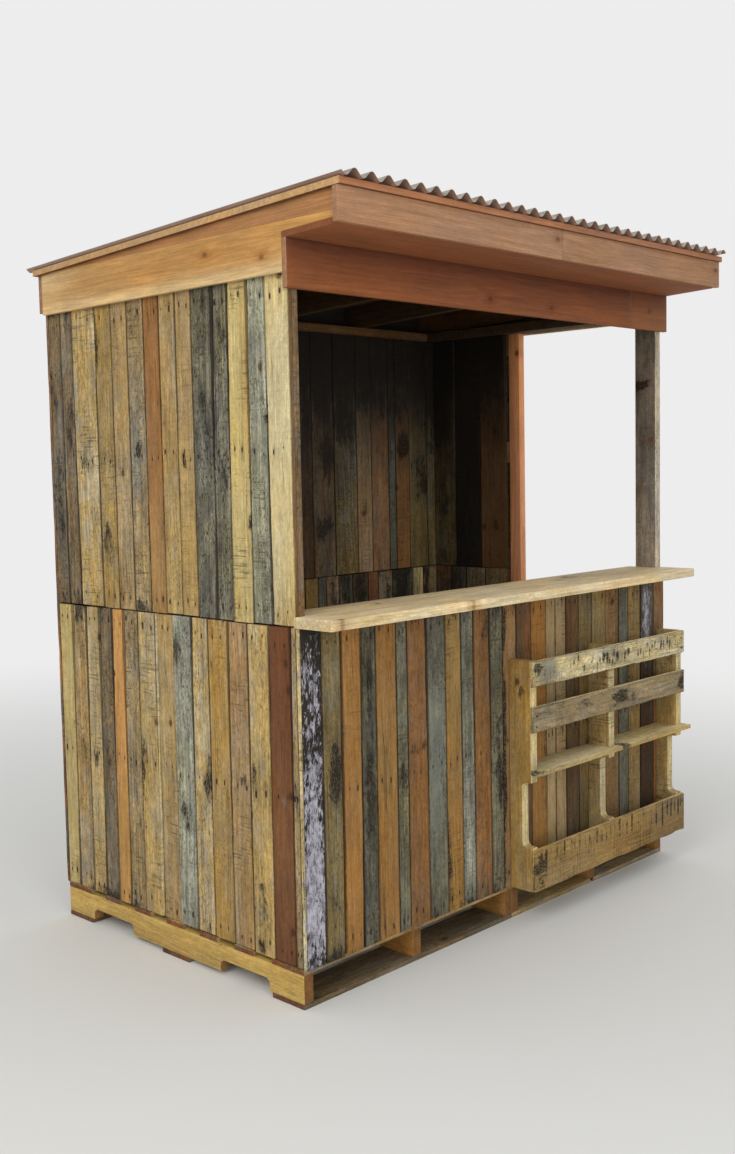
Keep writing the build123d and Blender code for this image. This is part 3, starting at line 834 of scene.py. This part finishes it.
LINING_LOWER = boards_from("""
45.075 ochre 0.2 | ends
46.975 slate 0.4 | ends
49.975 pink_tan 0.4 | ends | dark 0 0.9 1 0.1 0.6
53.375 slate 0.6 | ends | dark 0 0.9 1 0.1 0.8
57.175 brown 0.4 | ends | dark 0 0.9 1 0.1 1
59.775 terracotta 0.1 | ends 0.6 0.3
63.375 grey_tan 0.5 | ends | dark 0.3 0.9 0.6 0.1 0.8
68.775 slate 0.8 | ends | dark 0 0.9 1 0.1 1.2
71.675 cream 0.6 | ends 0.3 0.6
75.75 grey_tan 0.6 | ends | dark -0.6 0.9 0.5 0.1 0.9
""")
# The charcoal and dark at the top of the third board are painted shade under the roof
RIGHT_LINING_UPPER = boards_from("""
4.775 olive 0.6 | smoke 1 | dark 0 0.05 1 0.05 0.6 ; edge high grey_brown
10.475 charcoal 0.5 | smoke 1.2
15.875 rust 0.1 | charcoal 0 1.05 4 0.6 1.1 | dark 0 0.9 2 0.3 1.1 | dark 0.3 0.18 0.5 0.04 0.7
""")


# Walls: the boards of each row, where they are listed, and for each lining the side to which it faces and
# its rows from the bottom, with how bright they are, the dimming being painted shade inside the kiosk

FACING = {"left": -X, "front": -Y, "right": X, "back": Y}
BOARD_ROWS = {
    "left_wall_upper": LEFT_UPPER,
    "left_wall_lower": LEFT_LOWER,
    "front_wall_left": FRONT_LEFT,
    "front_wall_right": FRONT_RIGHT,
    "right_wall_upper": None,
    "right_wall_lower": None,
    "back_wall_upper": None,
    "back_wall_lower": None,
}
LININGS = {
    "back": ("front", [(LINING_LOWER, 0.9), (LINING_UPPER, 0.98)]),
    "right": ("left", [(None, 0.6), (RIGHT_LINING_UPPER, 0.6)]),
    "front": ("back", [(None, 0.6)]),
}
LINING_JOINT = 0.001
SHORT_BOARD = 0.003

# Width in inches of the first board that is listed on the back wall's lining

FIRST_LISTED = 3.0


def facing(node, out):
    """The inner corner of a CAD node's box, its axes across, up and out, and its size along those."""
    low, high = map(np.array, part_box(node))
    axes = (np.cross(Z, out), Z, out)
    start = np.where(sum(axes) > 0, low, high)
    return start, axes, [abs((high - low) @ axis) for axis in axes]


def add_walls(weathered):
    for name, listed in BOARD_ROWS.items():
        side, node = name.split("_")[0], f"{name}_boards"
        start, axes, size = facing(node, FACING[side])
        row = listed or mixed_boards(size[0] / INCH)
        options = {"grid": (8, 56) if listed else (5, 30)}
        if side == "left":
            for *_, settings in row:
                settings["shorts"] = (rng.uniform(0, SHORT_BOARD), 0.001)
        if side == "back":
            row[-1][-1]["edge_tone"] = ("high", "terracotta")
        if side == "front":
            # The front boards are darkened partly for their own weathering and partly as painted shade on
            # the front
            options |= {"dim": 0.83, "rusting": 0.8}
        lumber = Lumber()
        board_row(lumber, start, axes, size, row, **options)
        lumber.build(f"{name}_planks", weathered, node)


def add_linings(weathered):
    """The boards inside. On the back wall only the right part is listed, and the rest are mixed."""
    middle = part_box("back_wall_lower_boards")[1][2]
    for wall, (side, rows) in LININGS.items():
        node = f"{wall}_wall_lining"
        start, axes, (width, height, thickness) = facing(node, FACING[side])
        edges = [start[2], start[2] + height]
        grid = (4, 24)
        if len(rows) == 2:
            edges[1:1] = [middle - LINING_JOINT / 2, middle + LINING_JOINT / 2]
            grid = (4, 40)
        lumber = Lumber()
        for (boards, dim), bottom, top in zip(rows, edges[::2], edges[1::2]):
            if wall == "back":
                boards = mixed_boards(boards[0][0] - FIRST_LISTED) + boards
            boards = boards or mixed_boards(width / INCH)
            start[2] = bottom
            size = (width, top - bottom, thickness)
            # dim darkens the lining boards as painted shade inside the kiosk
            board_row(lumber, start, axes, size, boards, grid=grid, rusting=0.35, dim=dim)
        lumber.build(f"{wall}_wall_inner_planks", weathered, node)


# Lumber from the CAD solids. Points nearer than MERGED are one, faces that bend less than FLAT are joined,
# and edges that bend more than SHARP are softened. CUT is taken off at each side of a cut

MERGED, CUT = 2e-5, 0.0005
FLAT, SHARP = math.radians(0.6), math.radians(28)
LOOKS_THAT_WAY = 0.6


def solids_of(node, bevel, cuts=(), rings=()):
    """Each solid of a CAD node as its own closed mesh with softened edges. It is parted by the cuts,
    which are pairs of an axis and a place on it, and ringed with points every so far along an axis."""
    bm = bmesh.new()
    bm.from_mesh(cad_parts[node].data)
    bmesh.ops.remove_doubles(bm, verts=bm.verts, dist=MERGED)
    bmesh.ops.dissolve_limit(bm, angle_limit=FLAT, verts=bm.verts, edges=bm.edges)
    parts = [bm]
    for axis, place in cuts:
        parts = [half(part, axis, place, keep) for part in parts for keep in (-1, 1)]
    found = []
    for part in parts:
        bmesh.ops.recalc_face_normals(part, faces=part.faces)
        sharp = [e for e in part.edges if e.is_manifold and e.calc_face_angle(0) > SHARP]
        softened = {"offset": bevel, "offset_type": "OFFSET", "segments": 2, "profile": 0.6}
        bmesh.ops.bevel(part, geom=sharp, affect="EDGES", clamp_overlap=True, **softened)
        for axis, step in rings:
            reach = [v.co[axis] for v in part.verts]
            for place in np.arange(min(reach, default=0) + step, max(reach, default=0) - step / 2, step):
                bisected(part, axis, place, 1)
        found += islands(part)
    for part in {bm, *parts}:
        part.free()
    return found


def bisected(part, axis, place, sign, **options):
    """Give the mesh points and edges where it meets a plane across an axis."""
    point, normal = Vector((0, 0, 0)), Vector((0, 0, 0))
    point[axis], normal[axis] = place, sign
    everything = part.verts[:] + part.edges[:] + part.faces[:]
    bmesh.ops.bisect_plane(part, geom=everything, plane_co=point, plane_no=normal, **options)


def half(bm, axis, place, keep):
    """What lies on one side of a plane, closed again, with half a millimetre taken off for the joint."""
    part = bm.copy()
    bisected(part, axis, place + keep * CUT, -keep, clear_outer=True)
    bmesh.ops.holes_fill(part, edges=[e for e in part.edges if e.is_boundary])
    return part


def islands(bm):
    """Points, faces and face directions of each separate solid."""
    bm.verts.index_update()
    bm.normal_update()
    group = {}
    for vert in bm.verts:
        if vert in group:
            continue
        group[vert] = vert.index
        queue = [vert]
        while queue:
            for edge in queue.pop().link_edges:
                for other in edge.verts:
                    if other not in group:
                        group[other] = vert.index
                        queue.append(other)
    found = []
    for label in sorted(set(group.values())):
        verts = [v for v in bm.verts if group[v] == label]
        number = {v.index: i for i, v in enumerate(verts)}
        faces = [f for f in bm.faces if group[f.verts[0]] == label]
        if faces:
            points = np.array([v.co[:] for v in verts])
            directions = np.array([f.normal[:] for f in faces])
            found.append((points, [[number[v.index] for v in f.verts] for f in faces], directions))
    return found


def dressed(
    name, node, material, slot, along, tones, wear=0.1, bevel=0.0016, cuts=(), rings=(), stains="",
    knots=(), faced=(), dim=1.0,
):
    """A piece with the shape of a CAD node, its edges softened and its grain running along one axis. Each
    of its solids takes the next tone, or fades from one tone to another where that is a pair. faced gives
    the faces that look one way (axis, sign) a tone of their own. knots are places across and along."""
    lumber = Lumber()
    stains = stains_from(stains)
    for number, (points, faces, directions) in enumerate(solids_of(node, bevel, cuts, rings)):
        low, high = points.min(0), points.max(0)
        size = high - low
        wide, thin = sorted((axis for axis in range(3) if axis != along), key=lambda axis: -size[axis])
        origin = (low + high) / 2
        origin[along] = low[along]
        grain = (points - origin)[:, [wide, along, thin]]
        u, v, _ = grain.T
        tone = tones[number % len(tones)]
        first, last = (tone, tone) if isinstance(tone, str) else tone
        share = (v / size[along])[:, None]
        colour = (1 - share) * linear(TONES[first]) + share * linear(TONES[last])
        shade_of_board = dim * rng.uniform(0.97, 1.03)
        colour = np.hstack([colour * shade_of_board, np.full((len(points), 1), wear)])
        marks = np.zeros((len(points), 4))
        marks[:, 3] = (v < MERGED / 2) | (v > size[along] - MERGED / 2)
        marked(colour, marks, stains, u / (size[wide] / 2), v / size[along], shade_of_board)
        face_tones = {}
        for axis, sign, face_tone in faced:
            for i in np.flatnonzero(directions[:, axis] * sign > LOOKS_THAT_WAY):
                face_tones[i] = linear(TONES[face_tone]) * dim
        pair, nail = zip(*[*knots, *[NOWHERE[:2]] * 3][:3])
        values = {"nail": nail, "pair": pair, "board": [rng.uniform(0, 40), 0, FAR]}
        lumber.add(points, faces, colour, face_tones, stain=marks, grain=grain, **values)
    lumber.build(name, material, node, smooth=30)


def both_ways(axis, tone):
    """A tone for the faces that look both ways along an axis."""
    return [(axis, -1, tone), (axis, 1, tone)]


def add_base(wood):
    marks = "dark 0.6 0.3 0.5 0.05 0.5 | golden -0.6 0.6 0.8 0.3 0.7 | amber 0.3 0.45 0.5 0.1 0.5"
    options = {"rings": [(1, 0.04)], "stains": marks, "faced": both_ways(1, "rust")}
    for number in range(1, 7):
        name, node = f"pallet_stringer_{number}", f"base_stringer_{number}"
        tone = "butter" if number == 1 else "orange"
        dressed(name, node, wood, "pallet_wood", 1, [tone], 0.02, 0.003, **options)
    red_ends = both_ways(0, "terracotta")
    for side, tones in (("left", ["grey_brown"]), ("right", ["straw", "grey_tan"])):
        name, node = f"pallet_bottom_boards_{side}", f"base_bottom_boards_{side}"
        dressed(name, node, wood, "pallet_wood", 0, tones, 0.4, dim=0.8, faced=red_ends)
        name, node = f"floor_planks_{side}", f"floor_boards_{side}"
        tones = ["straw", "brown", "grey_brown"]
        faced = [(1, -1, "tan"), *red_ends]
        dressed(name, node, wood, "weathered_wood", 0, tones, 0.4, faced=faced)


def add_frame(wood, fresh):
    for side in ("left", "right", "back", "front"):
        name, node = f"{side}_rails", f"{side}_wall_rails"
        along = 1 if side in ("left", "right") else 0
        slot = "post_wood" if along else "weathered_wood"
        # The rails inside are darkened as painted shade, the right ones most, where they show through the
        # slit by the door post
        dim = 0.4 if side == "right" else 0.7
        dressed(name, node, wood, slot, along, ["brown", "tan", "rust"], 0.3, dim=dim)
    options = {"slot": "post_wood", "along": 2, "rings": [(2, 0.03)]}
    marks = (
        "paint 0 0.5 1 0.06 0.5 | dark 0.2 0.62 0.6 0.02 1 | dark -0.2 0.85 0.6 0.1 0.6"
        "| paint 0 0.3 1 0.1 0.5 | brown 0 0.9 2 0.2 0.6"
    )
    tones = [("rust", "grey_brown")]
    dressed("post_front_left", "front_left_post", wood, tones=tones, wear=0.5, stains=marks, **options)
    marks = (
        "terracotta 0 0.15 3 0.26 1 | dark 0.3 0.83 0.6 0.015 1.2 | dark 0 0.7 1 0.01 1.2"
        "| pale_grey 0 0.55 3 0.12 0.35 | mahogany 0.8 0.87 0.5 0.015 0.9 | dark 0.9 0.87 0.4 0.01 1.3"
        "| mahogany -0.7 0.77 0.5 0.01 0.9 | mahogany 0.7 0.66 0.4 0.01 0.9"
    )
    own = {"tones": ["post_grey"], "wear": 0.35, "stains": marks, "faced": [(1, -1, "pale_grey")]}
    dressed("post_front_right", "front_right_post", wood, **own, **options)
    # The door post takes a tone lighter than its fir, as painted light, so that it looks lit though it
    # stands in the roof's shade
    dressed("post_door", "door_post", fresh, tones=["post_fir"], wear=0.0, **options)
    options = {"rings": [(0, 0.02), (1, 0.05)], "knots": [(-0.131, 0.045), (-0.131, 0.64), (0.03, 1.35)]}
    options["stains"] = "grey_tan 0.3 0.8 0.8 0.15 0.5 | dark 0.4 0.72 0.4 0.04 0.5"
    dressed("counter_plank", "counter", fresh, "counter_wood", 0, ["pine"], 0.25, 0.0025, **options)
    # Plates and rafters are darkened by dim as painted shade under the roof
    dressed("plates", "top_plates", wood, "post_wood", 0, ["brown", "brown", "rust"], 0.2, dim=0.6)
    dressed("roof_rafters", "rafters", wood, "post_wood", 1, ["brown", "rust", "brown"], 0.2, dim=0.45)


# Joints, from the left end of the beam and of the roof's boards

BEAM_JOINT = 71.15 * INCH
DECK_JOINTS = (34.3 * INCH, 54.3 * INCH, 74.3 * INCH)


def add_roof(fresh):
    options = {"slot": "new_wood", "along": 0, "wear": 0.0}
    own = {"cuts": [(0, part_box("front_beam")[0][0] + BEAM_JOINT)], "rings": [(0, 0.03), (2, 0.02)]}
    own |= {"tones": ["red_fir", "bright_fir"], "bevel": 0.002, "faced": [(0, -1, "fir")]}
    # The dark patch along the beam's top edge is painted shade under the soffit, and its darker tones are
    # partly the same painted shade
    own |= {"stains": "deep_fir 1 0.5 1.1 3 0.9", "knots": [(-0.03, 0.93), (-0.035, 1.28)]}
    dressed("beam_front", "front_beam", fresh, **own, **options)
    sloping = {"slot": "new_wood", "along": 1, "wear": 0.0}
    board = {"tones": ["honey"], "rings": [(1, 0.03), (2, 0.02)], "knots": [(0.02, 0.55), (-0.02, 0.3)]}
    board["stains"] = "pine -1 0.5 0.45 2 0.65 | pine 0.5 1 0.9 0.12 0.6 | amber 0.2 0.45 0.5 0.3 0.6"
    wedge = {"tones": ["tan_fir"], "rings": [(1, 0.03)], "bevel": 0.0012}
    for side in ("left", "right"):
        dressed(f"{side}_gable_board", f"{side}_side_board", fresh, **board, **sloping)
        dressed(f"{side}_gable_wedge", f"{side}_side_wedge", fresh, **wedge, **sloping)
    # The back board's inner face is charcoal as painted shade inside the kiosk
    own = {"tones": ["fir"], "rings": [(0, 0.04)], "faced": [(1, -1, "charcoal")]}
    dressed("back_fascia", "back_board", fresh, **own, **options)
    own = {"tones": ["fir"], "rings": [(0, 0.03)], "knots": [(0.015, 1.02), (-0.02, 1.2)]}
    dressed("fascia", "front_fascia", fresh, **own, **options)
    dressed("soffit_board", "soffit", fresh, tones=["red_fir"], bevel=0.001, rings=[(0, 0.04)], **options)
    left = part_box("roof_deck")[0][0]
    # The deck's red_brown faces are painted shade on its underside, seen inside and under the overhang, and
    # its pale_fir ends are lightened as painted light where the sheet shades them
    own = {"cuts": [(0, left + joint) for joint in DECK_JOINTS], "tones": ["red_brown"], "bevel": 0.001}
    own["faced"] = both_ways(0, "pale_fir") + both_ways(1, "rose_fir")
    dressed("roof_boarding", "roof_deck", fresh, **own, **options)


# The rack's boards: how wide a slat is, its stains, and the strokes of mould across the upper one with
# their first and last place, number and strength

SLAT_WIDTH = 3.5 * INCH
SLAT_MOULD = """
dark 0.5 0.03 0.4 0.03 1.2 | blue 0 0.09 0.9 0.07 1.5 | blue 0 0.52 0.9 0.1 0.9
| slate 0 0.52 1.2 0.08 0.4 | slate 0 0.08 1.5 0.05 0.5
"""
MOULD_STROKES = ((0.01, 0.12, 5, 1.2), (0.2, 0.4, 12, 1.25), (0.43, 0.6, 16, 2.1), (0.66, 0.97, 16, 1.3))
FAINT_MOULD = "dark 0 0.55 0.7 0.1 0.9 | dark 0 0.98 1 0.03 0.9 | dark 0.3 0.3 0.5 0.1 0.5"
TROUGH_MARKS = "rust -0.3 0.5 1 1 0.3 | dark 0 0.03 1.5 0.05 0.7 | grey_brown 0.3 0.93 2 0.22 0.8"


def strokes(first, last, count, reach, across, jitter, strength):
    """Narrow dark strokes across the grain, one after the other along a board."""
    marks = []
    for place in np.linspace(first, last, count):
        size = (rng.uniform(*reach), rng.uniform(0.003, 0.006))
        u, v = rng.uniform(*across), place + rng.uniform(-jitter, jitter)
        marks.append(("dark", u, v, *size, rng.uniform(*strength)))
    return marks


def rack_board(lumber, node, bottom, top, tone, wear, stains, edge, dim=1.0):
    """A level board of the rack between two heights of a CAD node."""
    low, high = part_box(node)
    length, thickness = high[0] - low[0], high[1] - low[1]
    sides = ((0, 0), (top - bottom, top - bottom))
    options = {"nails": (0.022, 0.5, 0.978), "rusting": 0.6, "gap": 0, "rough": 2, "grid": (8, 110)}
    options |= {"edge_tone": ("high", edge), "dim": dim}
    start, axes = (low[0], high[1], bottom), (Z, X, -Y)
    plank(lumber, start, axes, length, sides, thickness, tone, wear, stains, **options)


def add_rack(wood):
    options = {"rings": [(2, 0.03), (1, 0.02)], "faced": [(1, -1, "cream"), (2, 1, "straw")]}
    marks = "dark -0.3 0.86 0.4 0.03 0.9 | ochre 0.2 0.3 0.8 0.3 0.7 | dark -0.5 0.6 0.4 0.03 0.7"
    options["stains"] = marks
    for side, tone in (("left", "golden"), ("middle", "straw"), ("right", "straw")):
        name, node = f"rack_upright_{side}", f"rack_stringer_{side}"
        dressed(name, node, wood, "pallet_wood", 2, [tone], 0.2, 0.003, **options)

    node = "rack_slats"
    bottom, top = (corner[2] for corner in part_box(node))
    mould = stains_from(SLAT_MOULD)
    for first, last, count, strength in MOULD_STROKES:
        strengths = (0.6 * strength, 1.2 * strength)
        mould += strokes(first, last, count, (0.2, 0.6), (-0.4, 0.4), 0.006, strengths)
    lumber = Lumber()
    rack_board(lumber, node, top - SLAT_WIDTH, top, "cream", 0.45, mould, "cream")
    faint = stains_from(FAINT_MOULD)
    rack_board(lumber, node, bottom, bottom + SLAT_WIDTH, "grey_tan", 0.35, faint, "cream", 0.97)
    lumber.build("rack_slat_boards", wood, node)

    node = "rack_front_board"
    bottom, top = (corner[2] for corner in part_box(node))
    streaks = strokes(0.04, 0.98, 34, (0.3, 0.8), (0.3, 0.7), 0.01, (0.9, 1.8))
    streaks += stains_from(TROUGH_MARKS)
    lumber = Lumber()
    rack_board(lumber, node, bottom, top, "ochre", 0.15, streaks, "straw")
    lumber.build("rack_trough_board", wood, node)

    marks = "dark -0.9 0.03 0.6 0.05 0.9 | dark -0.8 0.97 0.5 0.03 0.9"
    own = {"rings": [(0, 0.05)], "faced": [(1, -1, "straw")], "stains": marks, "dim": 1.1}
    dressed("rack_shelf_boards", "rack_shelf", wood, "pallet_wood", 0, ["cream"], 0.1, 0.002, **own)


# The sheet's waves, its first ridge as a share of a wave, and the rows of screws as shares of its depth

WAVE_PITCH, WAVE_HEIGHT = 2.68 * INCH, 0.875 * INCH
FIRST_RIDGE = 0.75
SCREW_ROWS = (0.11, 0.5, 0.93)
SCREW_SUNK, WASHER_TOP = 0.0008, 0.0032
WASHER = {"segments": 14, "radius1": 0.0085, "radius2": 0.0075, "depth": 0.0022}
HEAD = {"segments": 6, "radius1": 0.0045, "radius2": 0.0042, "depth": 0.0044}


def add_screws(metal):
    """Hexagon screws with washers on every third ridge of the sheet, in rows."""
    low, high = map(np.array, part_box("roof_sheet"))
    count = round((high[0] - low[0]) / WAVE_PITCH)
    slope = math.atan((high[2] - low[2] - WAVE_HEIGHT) / (high[1] - low[1]))
    bm = bmesh.new()
    for share, i in itertools.product(SCREW_ROWS, range(1, count, 3)):
        run = share * (high[1] - low[1])
        x = low[0] + (i + FIRST_RIDGE) * WAVE_PITCH
        spot = (x, low[1] + run, high[2] - math.tan(slope) * run - SCREW_SUNK)
        place = Matrix.Translation(spot) @ Matrix.Rotation(-slope, 4, "X")
        bmesh.ops.create_cone(bm, cap_ends=True, matrix=place, **WASHER)
        place = place @ Matrix.Translation((0, 0, WASHER_TOP))
        bmesh.ops.create_cone(bm, cap_ends=True, matrix=place, **HEAD)
    mesh = bpy.data.meshes.new("roof_screws")
    bm.to_mesh(mesh)
    bm.free()
    piece = linked("roof_screws", mesh, metal)
    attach(piece, "root")


# Studio

BACKGROUND = (0.93, 0.93, 0.93)
FLOOR_COLOUR = (0.88, 0.88, 0.87)
FLOOR_REACH, FADE_FROM, FADE_TO = 60, 1.6, 7.0
SKY_COLOUR, SKY_STRENGTH = (0.98, 0.99, 1.0, 1), 0.66


def add_lamp(name, place, target, size, power, colour=(1, 1, 1)):
    data = bpy.data.lights.new(name, "AREA")
    data.shape = "DISK"
    data.size = size
    data.energy = power
    data.color = colour
    lamp = bpy.data.objects.new(name, data)
    lamp.location = place
    lamp.rotation_mode = "QUATERNION"
    lamp.rotation_quaternion = (Vector(target) - Vector(place)).to_track_quat("-Z", "Y")
    bpy.context.scene.collection.objects.link(lamp)


def add_floor():
    """A pale floor that fades into the background before the camera."""
    s = Shader(bpy.data.materials.new("studio_floor"))
    place = s.node("ShaderNodeTexCoord").outputs["Object"]
    distance = s.node("ShaderNodeVectorMath", {0: place}, operation="LENGTH").outputs["Value"]
    seen = s.node("ShaderNodeLightPath").outputs["Is Camera Ray"]
    far = s.times(s.step(distance, FADE_FROM, FADE_TO), seen)
    surface = s.node("ShaderNodeBsdfDiffuse", {"Color": shade(FLOOR_COLOUR)})
    glow = s.node("ShaderNodeEmission", {"Color": shade(BACKGROUND)})
    blend = s.node("ShaderNodeMixShader", {0: far, 1: surface.outputs[0], 2: glow.outputs[0]})
    s.node("ShaderNodeOutputMaterial", {0: blend.outputs[0]})
    mesh = bpy.data.meshes.new("studio_floor")
    corners = [(x * FLOOR_REACH, y * FLOOR_REACH, 0) for x, y in ((-1, -1), (1, -1), (1, 1), (-1, 1))]
    mesh.from_pydata(corners, [], [(0, 1, 2, 3)])
    linked("studio_floor", mesh, s.made)


def add_world():
    """Even light all round, and the plain background where the camera or a reflection sees it."""
    s = Shader(bpy.data.worlds.new("studio"))
    paths = s.node("ShaderNodeLightPath").outputs
    seen = s.math("MAXIMUM", paths["Is Camera Ray"], paths["Is Glossy Ray"])
    light = s.node("ShaderNodeBackground", {"Color": SKY_COLOUR, "Strength": SKY_STRENGTH})
    plain = s.node("ShaderNodeBackground", {"Color": shade(BACKGROUND)})
    mix = s.node("ShaderNodeMixShader", {0: seen, 1: light.outputs[0], 2: plain.outputs[0]})
    s.node("ShaderNodeOutputWorld", {0: mix.outputs[0]})
    bpy.context.scene.world = s.made


def add_studio():
    add_floor()
    add_world()
    add_lamp("key", (-6.5, -2.0, 5.0), (0, 0, 1.1), 4.5, 200, (1.0, 0.98, 0.94))
    add_lamp("front", (-3.5, -7.0, 2.2), (0.3, 0, 1.1), 3.5, 130)
    add_lamp("side", (6.5, 0.5, 3.2), (0.6, 0, 1.1), 4.5, 90)
    bpy.context.scene.view_settings.view_transform = "Standard"


add_camera()
add_studio()
weathered = weathered_wood()
fresh = fresh_wood()
add_walls(weathered)
add_linings(weathered)
add_base(weathered)
add_frame(weathered, fresh)
add_roof(fresh)
add_rack(weathered)
add_screws(screw_metal())
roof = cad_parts["roof_sheet"]
roof.data.materials.clear()
roof.data.materials.append(galvanised())
